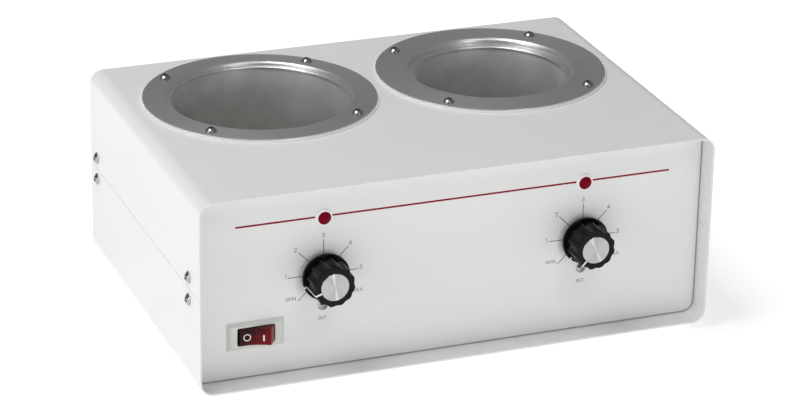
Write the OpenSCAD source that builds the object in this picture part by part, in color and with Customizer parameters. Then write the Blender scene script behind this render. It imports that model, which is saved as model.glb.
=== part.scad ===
// Double wax warmer: a folded steel case with two heated aluminium pots, a recessed front panel with
// two thermostat knobs, two pilot lamps and a rocker switch, and a mains inlet at the back.
// Millimetres, +X right along the front, +Y towards the back, +Z up. The origin is the bottom centre
// of the space that the warmer takes up, on the surface that its feet stand on.

/* [Case] */
// Outer width of the case
case_w = 400; // [392:2:440]
// Depth of the case from its front edge to its back edge
case_d = 278; // [252:2:320]
// Height of the case without its feet
case_h = 150; // [144:1:180]
// Thickness of the steel sheet
sheet_t = 1.2; // [0.8:0.1:1.6]
// Outer radius of the four long bends
bend_r = 10.5; // [6:0.5:14]
// Gap where the upper and lower covers meet on the sides
seam_gap = 0.4; // [0.2:0.1:1]
// Depth of the front panel's face behind the front edge of the covers
front_setback = 18.5; // [12:0.5:24]
// Depth of the rear panel's face inside the back edge of the covers
rear_setback = 9; // [6:0.5:12]
// Gap between a panel's edge and the covers round it
panel_gap = 0.8; // [0.4:0.1:1.5]
// Depth of the folded flanges at a panel's sides
flange_depth = 16; // [14:1:20]

/* [Case screws] */
// Distance of a side screw behind its panel's face
side_screw_back = 7.8; // [6:0.2:9]
// Height of a side screw above or below the seam
side_screw_rise = 8.7; // [7:0.1:12]
// Shank diameter of a side screw
side_screw_d = 5; // [4:0.5:5]
// Head diameter of a side screw
side_head_d = 9.2; // [8:0.2:10]
// Head height of a side screw
side_head_h = 2.8; // [2:0.1:3.5]

/* [Feet] */
// Height of a rubber foot
foot_h = 6; // [5:0.5:8]
// Diameter of a rubber foot at the case
foot_d = 20; // [16:1:26]
// Distance of a foot's centre from the edges of the case
foot_inset = 34; // [30:1:50]

/* [Pots] */
// Distance between the centres of the two pots
pot_spacing = 188; // [184:1:192]
// Distance from the pots' centres to the case's back edge
pot_behind = 97; // [96:1:104]
// Outer diameter of a pot's flange
flange_d = 178; // [174:1:180]
// Inner diameter of the left pot
left_pot_d = 134; // [116:1:136]
// Inner diameter of the right pot
right_pot_d = 117; // [100:1:134]
// Inner depth of a pot below its flange
pot_depth = 110; // [100:1:122]
// Thickness of a pot's aluminium
pot_t = 1.2; // [1:0.1:1.6]
// Radial width of the left pot's rounded and stepped rim
left_rim_w = 5.4; // [4.6:0.1:5.5]
// Radial width of the right pot's rounded and stepped rim
right_rim_w = 8.3; // [7:0.1:9]
// Rise of a flange from its outer edge to its rounded lip
flange_rise = 0.9; // [0.4:0.1:1.4]
// Width of the ledge inside the left pot's rim
left_ledge_w = 2.8; // [2.7:0.1:3.6]
// Width of the ledge inside the right pot's rim
right_ledge_w = 5; // [4:0.1:5.6]
// Depth of the left pot's ledge below its flange
left_ledge_drop = 1.8; // [1.8:0.1:6]
// Depth of the right pot's ledge below its flange
right_ledge_drop = 4; // [3.5:0.1:8]
// Radius of a pot's inner bottom corner
floor_r = 8; // [4:1:12]
// Thickness of the gasket under a flange
gasket_t = 1.2; // [0.8:0.1:2]
// Distance that a gasket shows outside its flange
gasket_show = 1.2; // [0.4:0.1:1.6]
// Radius of the circle of a flange's four screws
flange_screw_r = 81.2; // [79.5:0.1:82]
// Shank diameter of a flange screw
flange_screw_d = 4; // [3:0.5:4]
// Head diameter of a flange screw
flange_head_d = 8.2; // [7:0.1:9]
// Head height of a flange screw
flange_head_h = 3.2; // [2:0.1:4]

/* [Heating] */
// Height of a band heater
band_h = 45; // [30:1:50]
// Thickness of a band heater
band_t = 2.5; // [2:0.1:3.5]
// Height of a band heater above the pot's inner floor
band_rise = 10; // [8:1:16]
// Width of the split in a band heater
band_split = 14; // [10:1:18]
// Diameter of a thermostat's sensing bulb
bulb_d = 6.4; // [5:0.2:8]
// Length of a thermostat's sensing bulb
bulb_len = 60; // [50:1:70]
// Height of the sensing bulb above the band heater
bulb_rise = 21; // [12:1:24]

/* [Controls] */
// Distance between the two knob shafts
control_spacing = 204; // [190:1:216]
// Distance of the controls' middle to the right of the case's middle
control_shift = 1.3; // [-2:0.1:2]
// Height of the knob shafts above the bottom of the case
shaft_rise = 75.5; // [70:0.5:84]
// Height of a pilot lamp above its knob shaft
lamp_rise = 44.3; // [38:0.1:48]
// Drop of a thermostat's fixing screw below its shaft
fixing_drop = 25; // [22:0.5:27]
// Diameter of a thermostat's shaft
shaft_d = 6; // [5:0.5:7]
// Gap between the panel and the back of a knob
knob_standoff = 4.6; // [4.2:0.1:8]
// Diameter of a knob's skirt
skirt_d = 36; // [34:1:42]
// Thickness of a knob's skirt
skirt_t = 2.8; // [2:0.1:4]
// Diameter of a knob's grip at its front
grip_d = 31.6; // [28:0.2:32]
// Diameter of a knob's grip where it meets the skirt
grip_base_d = 32.4; // [30:0.2:34]
// Number of scallops round a knob's grip
scallops = 12; // [8:1:16]
// Height of a knob from the back of its skirt to its front
knob_h = 21; // [16:0.5:26]
// Diameter of the spun aluminium cap in a knob's face
cap_d = 21.2; // [18:0.2:24]
// Thickness of the spun aluminium cap
cap_t = 1; // [0.6:0.1:1.4]
// Direction of the left knob's pointer, anticlockwise from the right
left_pointer = 200; // [-45:1:270]
// Direction of the right knob's pointer, anticlockwise from the right
right_pointer = 228; // [-45:1:270]
// Diameter of a pilot lamp's rim
lamp_rim_d = 13.2; // [12.4:0.2:15]
// Diameter of a pilot lamp's raised lens
lamp_lens_d = 10; // [8:0.2:11]
// Diameter of a pilot lamp's barrel
lamp_barrel_d = 9; // [8:0.2:10]

/* [Power switch] */
// Distance of the switch's centre from the left side of the case
switch_inset = 47.5; // [44:0.5:52]
// Height of the switch's centre above the bottom of the case
switch_rise = 35.2; // [30:0.2:42]
// Width of the switch's bezel
bezel_w = 44; // [40:0.2:46]
// Height of the switch's bezel
bezel_h = 22; // [20:0.2:24]
// Distance that the bezel stands proud of the panel
bezel_t = 2.6; // [2:0.1:3.5]
// Width of the rocker
rocker_w = 28; // [26:0.2:30]
// Height of the rocker
rocker_h = 13.6; // [12:0.2:15]
// Tilt of the rocker to either side
rocker_tilt = 14; // [10:0.5:15]

/* [Back] */
// Distance of the mains inlet's centre from the left side of the case
inlet_inset = 60; // [50:1:90]
// Height of the mains inlet's centre above the bottom of the case
inlet_rise = 38; // [30:1:48]

/* [Hidden] */

$fn = 64;
round_fn = 128;
hole_fn = 32;
// A cut runs past the faces that it goes through by this much
cut = 1;
// Radial clearance of a screw in the nut that holds it
thread_gap = 0.05;
// Radial clearance of a screw in a plain hole
hole_gap = 0.3;
// Radial clearance of a turning shaft
running_gap = 0.05;
// Gap at a piece that is seated without touching
seat_gap = 0.2;
// Length of a screw that shows past its nut
thread_out = 1.5;
// A screw head's dome radius and the width of its cross recess, as shares of the head's diameter
dome_share = 0.62;
recess_share = 0.16;

// The knobs stand proud of the case's front edge, and the origin is the middle of the whole depth
cap_proud = 0.3;
knob_out = max(0, knob_standoff + knob_h + cap_proud - front_setback);
front_y = -(case_d - knob_out) / 2;
back_y = front_y + case_d;
panel_y = front_y + front_setback;
rear_panel_y = back_y - rear_setback;
base_z = foot_h;
floor_z = base_z + sheet_t;
top_z = base_z + case_h;
seam_z = base_z + case_h / 2;
inner_w = case_w - 2 * sheet_t;
panel_w = inner_w - 2 * panel_gap;
panel_bottom = floor_z + panel_gap;
panel_top = top_z - sheet_t - panel_gap;
panel_r = bend_r - sheet_t - panel_gap;

// Nuts: the width across the flats and the height
m3_nut_af = 5.5;
m3_nut_h = 2.4;
m4_nut_af = 7;
m4_nut_h = 3.2;
side_nut_af = 8;
side_nut_h = 4;

foot_taper = 3;
foot_screw_d = 4;
foot_head_d = 7.6;
foot_head_h = 2.4;
foot_recess = 3.6;

pot_y = back_y - pot_behind;
flange_z = top_z + gasket_t + pot_t;
pot_floor_z = flange_z - pot_depth;
left_r = left_pot_d / 2;
right_r = right_pot_d / 2;
// Clearance of the rim in the holes of the cover and the gasket
rim_gap = 1;
// Radius and fall of the ledge's inner edge
ledge_edge_r = 1.4;
ledge_slope = 0.2;
screw_angles = [45, 135, 225, 315];
// A screw's flat seat, pressed into the sloping flange
seat_r = flange_head_d / 2 + 0.5;

band_z = pot_floor_z + band_rise;
lug_w = 16;
lug_reach = 10;
lug_t = 2;
clamp_d = 4;
clamp_head_d = 7;
clamp_head_h = 2.6;
// The blade terminals on the heaters, the cut-outs, the thermostats and the switch
tab_w = 6.3;
tab_t = 0.8;
tab_len = 8;
tab_block_w = 26;
tab_block_d = 7;
tab_block_h = 14;
tab_spacing = 14;

bulb_z = band_z + band_h + bulb_rise;
bulb_gap = 0.3;
capillary_d = 2;
clip_w = 14;
clip_t = 2;

stud_d = 3;
stud_len = 6;
stud_pitch = 24;
cutout_plate_t = 1;
cutout_plate_w = 10;
cutout_plate_end = 4;
cutout_d = 17;
cutout_h = 9;

shaft_z = base_z + shaft_rise;
lamp_z = shaft_z + lamp_rise;
body_w = 36;
body_h = 34;
body_d = 24;
plate_w = 26;
plate_t = 2;
plate_end = 2;
bushing_d = 10;
bushing_out = 2.7;
bushing_nut_af = 14;
bushing_nut_h = 2.2;
fixing_d = 4;
fixing_len = 8;
fixing_head_d = 7.6;
fixing_head_h = 2.6;
diaphragm_d = 20;
diaphragm_t = 4;
diaphragm_drop = 4;
thermostat_back_y = panel_y + sheet_t + plate_t + body_d;

shaft_depth = 14;
shaft_flat = 1.5;
shaft_short = 1;
insert_d = 10;
insert_len = 14;
edge_r = 0.8;
skirt_dish = 0.8;
skirt_rim = 1;
scallop_r = 5.6;
scallop_depth = 1.3;
cap_edge = 0.3;

lamp_flange_t = 2;
lamp_flange_slope = 0.8;
lamp_dome_h = 2.2;
lamp_body_len = 22;
lamp_tab_w = 2.8;
lamp_tab_len = 6;
lamp_clip_t = 1.2;
lamp_clip_d = 14;

switch_x = -case_w / 2 + switch_inset;
switch_z = base_z + switch_rise;
bezel_slope = 2.8;
switch_side = 3;
switch_rim = 1.8;
switch_body_w = rocker_w + 2 * switch_side;
switch_body_h = rocker_h + 2 * switch_rim;
switch_body_d = 20;
// The lugs that snap behind the panel
snap_w = 8;
snap_d = 5;
snap_out = 1;
well_d = 9;
pin_d = 2;
pivot_inset = 3.2;
pivot_y = panel_y - bezel_t + pivot_inset;
rocker_gap = 0.3;
rocker_r = rocker_w / 2;
// The rocker's two raised tips, the dish between them and its bottom
rocker_tip = 11.4;
rocker_rise = 6.6;
rocker_dish = 1.6;
rocker_bottom = 4.5;
rocker_taper = 2;
rocker_corner = 1.2;

inlet_x = -case_w / 2 + inlet_inset;
inlet_z = base_z + inlet_rise;
inlet_flange_w = 50;
inlet_flange_h = 24;
inlet_flange_t = 2.5;
inlet_body_w = 28;
inlet_body_h = 20;
inlet_body_d = 19;
socket_w = 24.4;
socket_h = 16.6;
socket_d = 16;
inlet_pitch = 40;
inlet_screw_d = 3;
inlet_head_d = 5.6;
inlet_head_h = 1.8;
blade_w = 2;
blade_h = 4;
blade_out = 12;
blade_places = [[-7, -1.5], [7, -1.5], [0, 2.5]];

block_x = 0;
block_back = 64;
block_y = front_y + block_back;
ways = 6;
way_pitch = 9;
way_d = 3.4;
way_depth = 7;
block_end = 2.7;
block_w = ways * way_pitch + 2 * block_end;
block_d = 20;
block_h = 14;
block_pitch = 2 * way_pitch;
block_screw_d = 3;

earth_behind = 72;
earth_y = back_y - earth_behind;
earth_d = 4;
earth_len = 12;
earth_nut_gap = 3;

wire_d = 2.4;
lead = 8;
swing = 10;
front = [0, -1, 0];
back = [0, 1, 0];
down = [0, 0, -1];
// Height of the wires that lie over the floor
low_z = floor_z + block_h / 2;

// Points on an arc, from the first angle to the last
function arc(x, y, r, a0, a1, n = 8) =
    [for (i = [0:n]) let (a = a0 + (a1 - a0) * i / n) [x + r * cos(a), y + r * sin(a)]];

// Place of the left (-1) or right (1) knob and lamp along the front
function control_x(side) = control_shift + side * control_spacing / 2;

// A rectangle with rounded corners
module rounded_plate(w, h, r) {
    polygon(concat(arc(w / 2 - r, h / 2 - r, r, 0, 90), arc(r - w / 2, h / 2 - r, r, 90, 180),
        arc(r - w / 2, r - h / 2, r, 180, 270), arc(w / 2 - r, r - h / 2, r, 270, 360)));
}

// A block with its two upper long edges rounded, along +Y from the origin
module bent_block(w, d, h, r) {
    translate([-w / 2, 0, 0]) cube([w, d, h - r]);
    translate([-w / 2 + r, 0, 0]) cube([w - 2 * r, d, h]);
    for (s = [-1, 1]) translate([s * (w / 2 - r), 0, h - r]) rotate([-90, 0, 0]) cylinder(r = r, h = d);
}

// One folded cover: a top and two sides of half the case's height
module folded_cover() {
    h = case_h / 2 - seam_gap / 2;
    difference() {
        bent_block(case_w, case_d, h, bend_r);
        translate([0, -cut, -cut]) bent_block(inner_w, case_d + 2 * cut, h - sheet_t + cut, bend_r - sheet_t);
    }
}

// A bar along X through both sides of the case, at each side screw of one row
module side_holes(rise, d) {
    for (y = [panel_y + side_screw_back, rear_panel_y - side_screw_back])
        translate([0, y, seam_z + rise]) rotate([0, 90, 0])
            cylinder(d = d, h = case_w + 2 * cut, center = true);
}

module at_each_foot() {
    for (x = [-1, 1]) for (y = [front_y + foot_inset, back_y - foot_inset])
        translate([x * (case_w / 2 - foot_inset), y, 0]) children();
}

module at_each_flange_screw(side) {
    translate([side * pot_spacing / 2, pot_y, 0]) for (a = screw_angles)
        rotate([0, 0, a]) translate([flange_screw_r, 0, 0]) children();
}

// A screw along Z: its head's seat is at the origin, with the head above and the shank below
module pan_screw(d, len, head_d, head_h) {
    dome_r = dome_share * head_d;
    slot = recess_share * head_d;
    difference() {
        union() {
            translate([0, 0, -len]) cylinder(d = d, h = len + head_h / 2, $fn = hole_fn);
            intersection() {
                cylinder(d = head_d, h = head_h);
                translate([0, 0, head_h - dome_r]) sphere(r = dome_r);
            }
        }
        for (a = [0, 90]) rotate([0, 0, a])
            translate([-head_d / 4, -slot / 2, head_h / 2]) cube([head_d / 2, slot, head_h]);
    }
}

// A plain hole for a screw, along +Z
module clear_hole(d, len) {
    cylinder(d = d + 2 * hole_gap, h = len, $fn = hole_fn);
}

module hex_nut(af, h, d) {
    difference() {
        cylinder(d = af / cos(30), h = h, $fn = 6);
        translate([0, 0, -cut]) cylinder(d = d + 2 * thread_gap, h = h + 2 * cut, $fn = hole_fn);
    }
}

module top_cover() {
    color("white") difference() {
        translate([0, front_y, seam_z + seam_gap / 2]) folded_cover();
        side_holes(side_screw_rise, side_screw_d + 2 * hole_gap);
        for (p = [[-1, left_r, left_rim_w], [1, right_r, right_rim_w]]) {
            translate([p[0] * pot_spacing / 2, pot_y, top_z - bend_r])
                cylinder(r = p[1] + p[2] + rim_gap, h = 2 * bend_r, $fn = round_fn);
            at_each_flange_screw(p[0]) translate([0, 0, top_z - bend_r])
                clear_hole(flange_screw_d, 2 * bend_r);
        }
    }
}

// The lower cover, with the earth stud that is welded to its floor
module bottom_cover() {
    color("white") difference() {
        union() {
            translate([0, front_y, seam_z - seam_gap / 2]) mirror([0, 0, 1]) folded_cover();
            translate([inlet_x, earth_y, floor_z - sheet_t / 2])
                cylinder(d = earth_d, h = sheet_t / 2 + earth_len, $fn = hole_fn);
        }
        side_holes(-side_screw_rise, side_screw_d + 2 * hole_gap);
        at_each_foot() clear_hole(foot_screw_d, floor_z + cut);
        at_each_block_screw() clear_hole(block_screw_d, floor_z + cut);
    }
}

// A panel's face, with its corners rounded to clear the covers' bends, from y = 0 towards +Y
module panel_plate() {
    h = panel_top - panel_bottom;
    translate([-panel_w / 2 + panel_r, 0, panel_bottom]) cube([panel_w - 2 * panel_r, sheet_t, h]);
    translate([-panel_w / 2, 0, panel_bottom + panel_r]) cube([panel_w, sheet_t, h - 2 * panel_r]);
    for (x = [-1, 1]) for (z = [panel_bottom + panel_r, panel_top - panel_r])
        translate([x * (panel_w / 2 - panel_r), 0, z]) rotate([-90, 0, 0]) cylinder(r = panel_r, h = sheet_t);
}

// A panel with the two flanges that the side screws hold
module panel_body() {
    panel_plate();
    for (x = [-panel_w / 2, panel_w / 2 - sheet_t])
        translate([x, 0, panel_bottom + panel_r])
            cube([sheet_t, flange_depth, panel_top - panel_bottom - 2 * panel_r]);
}

// An oblong hole through a panel for a body w wide and h high
module panel_window(w, h) {
    translate([-w / 2 - hole_gap, -cut, -h / 2 - hole_gap])
        cube([w + 2 * hole_gap, sheet_t + 2 * cut, h + 2 * hole_gap]);
}

module front_panel() {
    color("white") difference() {
        translate([0, panel_y, 0]) panel_body();
        for (r = [-1, 1]) side_holes(r * side_screw_rise, side_screw_d + 2 * hole_gap);
        for (s = [-1, 1]) translate([control_x(s), panel_y - cut, 0]) rotate([-90, 0, 0]) {
            translate([0, -shaft_z, 0]) clear_hole(bushing_d, sheet_t + 2 * cut);
            translate([0, -shaft_z + fixing_drop, 0]) clear_hole(fixing_d, sheet_t + 2 * cut);
            translate([0, -lamp_z, 0]) clear_hole(lamp_barrel_d, sheet_t + 2 * cut);
        }
        translate([switch_x, panel_y, switch_z]) panel_window(switch_body_w, switch_body_h);
    }
}

module rear_panel() {
    color("white") difference() {
        translate([0, rear_panel_y, 0]) mirror([0, 1, 0]) panel_body();
        for (r = [-1, 1]) side_holes(r * side_screw_rise, side_screw_d + 2 * hole_gap);
        translate([inlet_x, rear_panel_y - sheet_t, inlet_z]) panel_window(inlet_body_w, inlet_body_h);
        at_each_inlet_screw() translate([0, 0, -sheet_t - cut]) clear_hole(inlet_screw_d, sheet_t + 2 * cut);
    }
}

// Each side screw's seat on the outside of the covers, with +Z pointing away from the case
module at_each_side_screw(side) {
    for (y = [panel_y + side_screw_back, rear_panel_y - side_screw_back]) for (z = [-1, 1])
        translate([side * case_w / 2, y, seam_z + z * side_screw_rise]) rotate([0, side * 90, 0]) children();
}

module side_screws(side) {
    grip = 2 * sheet_t + panel_gap + side_nut_h;
    color("silver") at_each_side_screw(side)
        pan_screw(side_screw_d, grip + thread_out, side_head_d, side_head_h);
}

module left_side_screws() side_screws(-1);
module right_side_screws() side_screws(1);

module side_screw_nuts() {
    grip = 2 * sheet_t + panel_gap;
    color("silver") for (s = [-1, 1]) at_each_side_screw(s)
        translate([0, 0, -grip - side_nut_h]) hex_nut(side_nut_af, side_nut_h, side_screw_d);
}

// A rubber foot's screw head lies in a recess, clear of the table
module feet() {
    color("black") at_each_foot() difference() {
        cylinder(d1 = foot_d - foot_taper, d2 = foot_d, h = foot_h);
        translate([0, 0, -cut]) clear_hole(foot_head_d, foot_recess + cut);
        translate([0, 0, -cut]) clear_hole(foot_screw_d, foot_h + 2 * cut);
    }
}

module foot_screws() {
    color("silver") at_each_foot() translate([0, 0, foot_recess]) mirror([0, 0, 1])
        pan_screw(foot_screw_d, floor_z - foot_recess + m4_nut_h + thread_out, foot_head_d, foot_head_h);
}

module foot_nuts() {
    color("silver") at_each_foot() translate([0, 0, floor_z]) hex_nut(m4_nut_af, m4_nut_h, foot_screw_d);
}

// A pot's section, from the flange's outer edge over the rim, ledge and wall to the floor, and back under it
function pot_inside(r, rim, ledge, drop) = let (s = rim - ledge) concat(
    [[flange_d / 2, 0]],
    arc(r + rim, flange_rise - s, s, 90, 180),
    [[r + ledge, -drop]],
    arc(r + ledge_edge_r, -drop - ledge_slope - ledge_edge_r, ledge_edge_r, 90, 180),
    arc(r - floor_r, -pot_depth + floor_r, floor_r, 0, -90),
    [[0, -pot_depth]]);
function pot_outside(r, rim, ledge, drop) = let (s = rim - ledge) concat(
    [[0, -pot_depth - pot_t]],
    arc(r - floor_r, -pot_depth + floor_r, floor_r + pot_t, -90, 0),
    [[r + pot_t, -drop - 2 * pot_t - ledge], [r + ledge + pot_t, -drop - 2 * pot_t]],
    arc(r + rim, flange_rise - s, s - pot_t, 180, 90),
    [[flange_d / 2, -pot_t]]);

// Height of a flange's sloping top above its outer edge, and the level of the screws' flat seats
function flange_top(r, rim, at) = flange_rise * (flange_d / 2 - at) / (flange_d / 2 - r - rim);
function seat_z(r, rim) = flange_z + flange_top(r, rim, flange_screw_r + seat_r);

// A spun pot with its flange, and two studs under its floor
module pot(side, r, rim, ledge, drop) {
    color("silver") difference() {
        union() {
            translate([side * pot_spacing / 2, pot_y, flange_z]) rotate_extrude($fn = round_fn)
                polygon(concat(pot_inside(r, rim, ledge, drop), pot_outside(r, rim, ledge, drop)));
            at_each_cutout_stud(side) translate([0, 0, -stud_len])
                cylinder(d = stud_d, h = stud_len + pot_t / 2, $fn = hole_fn);
        }
        at_each_flange_screw(side) translate([0, 0, top_z]) clear_hole(flange_screw_d, rim);
        at_each_flange_screw(side) translate([0, 0, seat_z(r, rim)]) cylinder(r = seat_r, h = flange_rise + cut);
    }
}

module left_pot() pot(-1, left_r, left_rim_w, left_ledge_w, left_ledge_drop);
module right_pot() pot(1, right_r, right_rim_w, right_ledge_w, right_ledge_drop);

module gasket(side, r, rim) {
    color("white") difference() {
        translate([side * pot_spacing / 2, pot_y, top_z]) difference() {
            cylinder(r = flange_d / 2 + gasket_show, h = gasket_t, $fn = round_fn);
            translate([0, 0, -cut]) cylinder(r = r + rim + rim_gap, h = gasket_t + 2 * cut, $fn = round_fn);
        }
        at_each_flange_screw(side) translate([0, 0, top_z - cut])
            clear_hole(flange_screw_d, gasket_t + 2 * cut);
    }
}

module left_pot_gasket() gasket(-1, left_r, left_rim_w);
module right_pot_gasket() gasket(1, right_r, right_rim_w);

module flange_screws(side, r, rim) {
    reach = seat_z(r, rim) - top_z + sheet_t + m4_nut_h + thread_out;
    color("silver") at_each_flange_screw(side) translate([0, 0, seat_z(r, rim)])
        pan_screw(flange_screw_d, reach, flange_head_d, flange_head_h);
}

module left_flange_screws() flange_screws(-1, left_r, left_rim_w);
module right_flange_screws() flange_screws(1, right_r, right_rim_w);

module flange_nuts() {
    color("silver") for (s = [-1, 1]) at_each_flange_screw(s)
        translate([0, 0, top_z - sheet_t - m4_nut_h]) hex_nut(m4_nut_af, m4_nut_h, flange_screw_d);
}

// A band heater round a pot, split at the back between two clamping lugs, with a terminal block in front
module heater_band(side, r) {
    in_r = r + pot_t + seat_gap;
    out_r = in_r + band_t;
    lug_z = (band_h - lug_w) / 2;
    color("lightgrey") translate([side * pot_spacing / 2, pot_y, band_z]) difference() {
        union() {
            cylinder(r = out_r, h = band_h, $fn = round_fn);
            for (x = [-band_split / 2 - lug_t, band_split / 2])
                translate([x, in_r, lug_z]) cube([lug_t, out_r - in_r + lug_reach, lug_w]);
            translate([-tab_block_w / 2, -out_r - tab_block_d, (band_h - tab_block_h) / 2])
                cube([tab_block_w, tab_block_d + band_t, tab_block_h]);
        }
        translate([0, 0, -cut]) cylinder(r = in_r, h = band_h + 2 * cut, $fn = round_fn);
        translate([-band_split / 2, 0, -cut]) cube([band_split, out_r + lug_reach + cut, band_h + 2 * cut]);
        translate([-band_split / 2 - 2 * lug_t, out_r + lug_reach / 2, band_h / 2]) rotate([0, 90, 0])
            clear_hole(clamp_d, band_split + 4 * lug_t);
    }
}

module left_heater_band() heater_band(-1, left_r);
module right_heater_band() heater_band(1, right_r);

// The two blade terminals on the front of each band heater's block
module heater_tabs() {
    color("gold") for (p = [[-1, left_r], [1, right_r]]) for (x = [-1, 1])
        translate([p[0] * pot_spacing / 2 + x * tab_spacing / 2, tab_face_y(p[1]), band_z + band_h / 2])
            translate([-tab_t / 2, -tab_len, -tab_w / 2]) cube([tab_t, tab_len, tab_w]);
}
function tab_face_y(r) = pot_y - r - pot_t - seat_gap - band_t - tab_block_d;

module band_clamp_screws() {
    reach = band_split + 2 * lug_t + m4_nut_h + thread_out;
    color("silver") for (p = [[-1, left_r], [1, right_r]]) at_clamp(p[0], p[1])
        translate([0, 0, band_split / 2 + lug_t]) pan_screw(clamp_d, reach, clamp_head_d, clamp_head_h);
}

module band_clamp_nuts() {
    color("silver") for (p = [[-1, left_r], [1, right_r]]) at_clamp(p[0], p[1])
        translate([0, 0, -band_split / 2 - lug_t - m4_nut_h]) hex_nut(m4_nut_af, m4_nut_h, clamp_d);
}

module at_clamp(side, r) {
    back_of_band = r + pot_t + seat_gap + band_t;
    translate([side * pot_spacing / 2, pot_y + back_of_band + lug_reach / 2, band_z + band_h / 2])
        rotate([0, 90, 0]) children();
}

module at_each_cutout_stud(side) {
    for (x = [-1, 1])
        translate([side * pot_spacing / 2 + x * stud_pitch / 2, pot_y, pot_floor_z - pot_t]) children();
}

// The thermal cut-out under a pot's floor, on the two studs that are welded to the floor
module thermal_cutout(side) {
    plate_len = stud_pitch + 2 * cutout_plate_end;
    color("dimgray") difference() {
        translate([side * pot_spacing / 2, pot_y, pot_floor_z - pot_t - cutout_plate_t]) {
            translate([-plate_len / 2, -cutout_plate_w / 2, 0])
                cube([plate_len, cutout_plate_w, cutout_plate_t]);
            translate([0, 0, -cutout_h]) cylinder(d = cutout_d, h = cutout_h);
            for (y = [-1, 1]) translate([-tab_w / 2, y * cutout_d / 4 - tab_t / 2, -cutout_h - tab_len])
                cube([tab_w, tab_t, tab_len + cut]);
        }
        at_each_cutout_stud(side) translate([0, 0, -stud_len]) clear_hole(stud_d, stud_len + cut);
    }
}

module left_thermal_cutout() thermal_cutout(-1);
module right_thermal_cutout() thermal_cutout(1);

module cutout_nuts() {
    color("silver") for (s = [-1, 1]) at_each_cutout_stud(s)
        translate([0, 0, -cutout_plate_t - m3_nut_h]) hex_nut(m3_nut_af, m3_nut_h, stud_d);
}

// The frame of a control on the front panel: +Z points out of the panel, +Y points up
module on_panel(x, z) {
    translate([x, panel_y, z]) rotate([90, 0, 0]) children();
}

// A thermostat behind the panel: a mounting plate, a switch body, a bushing through the panel and two tabs
module thermostat(side) {
    back = -sheet_t - plate_t - body_d;
    plate_drop = fixing_drop + fixing_head_d / 2 + plate_end;
    color("dimgray") on_panel(control_x(side), shaft_z) difference() {
        union() {
            translate([-plate_w / 2, -plate_drop, -sheet_t - plate_t])
                cube([plate_w, plate_drop + body_h / 2, plate_t]);
            translate([-body_w / 2, -body_h / 2, back]) cube([body_w, body_h, body_d]);
            translate([0, 0, -sheet_t - plate_t])
                cylinder(d = bushing_d, h = sheet_t + plate_t + bushing_out);
            translate([0, -diaphragm_drop, back - diaphragm_t])
                cylinder(d = diaphragm_d, h = diaphragm_t + cut);
            for (x = [-1, 1]) translate([x * body_w / 3 - tab_w / 2, body_h / 3, back - tab_len])
                cube([tab_w, tab_t, tab_len + cut]);
        }
        translate([0, 0, -shaft_depth - seat_gap])
            cylinder(d = shaft_d + 2 * running_gap, h = shaft_depth + knob_standoff + cut);
        translate([0, -fixing_drop, back])
            cylinder(d = fixing_d + 2 * thread_gap, h = body_d + plate_t + cut, $fn = hole_fn);
    }
}

module left_thermostat() thermostat(-1);
module right_thermostat() thermostat(1);

module thermostat_nuts() {
    color("silver") for (s = [-1, 1]) on_panel(control_x(s), shaft_z)
        hex_nut(bushing_nut_af, bushing_nut_h, bushing_d);
}

module thermostat_fixing_screws() {
    color("silver") for (s = [-1, 1]) on_panel(control_x(s), shaft_z - fixing_drop)
        pan_screw(fixing_d, fixing_len, fixing_head_d, fixing_head_h);
}

// The turning pieces, with +X along the pointer
module at_knob(side, pointer) {
    on_panel(control_x(side), shaft_z) rotate([0, 0, pointer]) children();
}

module thermostat_shaft(side, pointer) {
    len = shaft_depth + knob_standoff + insert_len - shaft_short;
    color("silver") at_knob(side, pointer) difference() {
        translate([0, 0, -shaft_depth]) cylinder(d = shaft_d, h = len);
        translate([shaft_d / 2 - shaft_flat, -shaft_d, knob_standoff]) cube([shaft_d, 2 * shaft_d, len]);
    }
}

module left_thermostat_shaft() thermostat_shaft(-1, left_pointer);
module right_thermostat_shaft() thermostat_shaft(1, right_pointer);

// The insert's bore has the same flat as the shaft, so the knob turns the shaft
module knob_insert(side, pointer) {
    color("gold") at_knob(side, pointer) translate([0, 0, knob_standoff]) difference() {
        cylinder(d = insert_d, h = insert_len);
        translate([0, 0, -cut]) intersection() {
            cylinder(d = shaft_d + 2 * running_gap, h = insert_len + 2 * cut);
            translate([-shaft_d, -shaft_d, 0])
                cube([1.5 * shaft_d - shaft_flat + running_gap, 2 * shaft_d, insert_len + 2 * cut]);
        }
    }
}

module left_knob_insert() knob_insert(-1, left_pointer);
module right_knob_insert() knob_insert(1, right_pointer);

// A fluted knob with a skirt: the pointer lies on a lobe between two scallops
module knob(side, pointer) {
    grip_h = knob_h - skirt_t;
    color("black") at_knob(side, pointer) translate([0, 0, knob_standoff]) difference() {
        union() {
            cylinder(d = skirt_d, h = skirt_t);
            translate([0, 0, skirt_t - cut])
                cylinder(d1 = grip_base_d, d2 = grip_d, h = grip_h + cut - edge_r);
            translate([0, 0, knob_h - edge_r]) cylinder(d1 = grip_d, d2 = grip_d - 2 * edge_r, h = edge_r);
        }
        difference() {
            translate([0, 0, skirt_t - skirt_dish])
                cylinder(d = skirt_d - 2 * skirt_rim, h = skirt_dish + cut / 2);
            cylinder(d = grip_base_d, h = knob_h);
        }
        for (i = [0:scallops - 1]) rotate([0, 0, (i + 0.5) * 360 / scallops])
            translate([grip_d / 2 + scallop_r - scallop_depth, 0, skirt_t])
                cylinder(r = scallop_r, h = knob_h);
        translate([0, 0, -cut]) cylinder(d = insert_d + 2 * running_gap, h = insert_len + cut + seat_gap);
        translate([0, 0, knob_h - cap_t + cap_proud]) cylinder(d = cap_d + 2 * running_gap, h = cap_t + cut);
    }
}

module left_knob() knob(-1, left_pointer);
module right_knob() knob(1, right_pointer);

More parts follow.
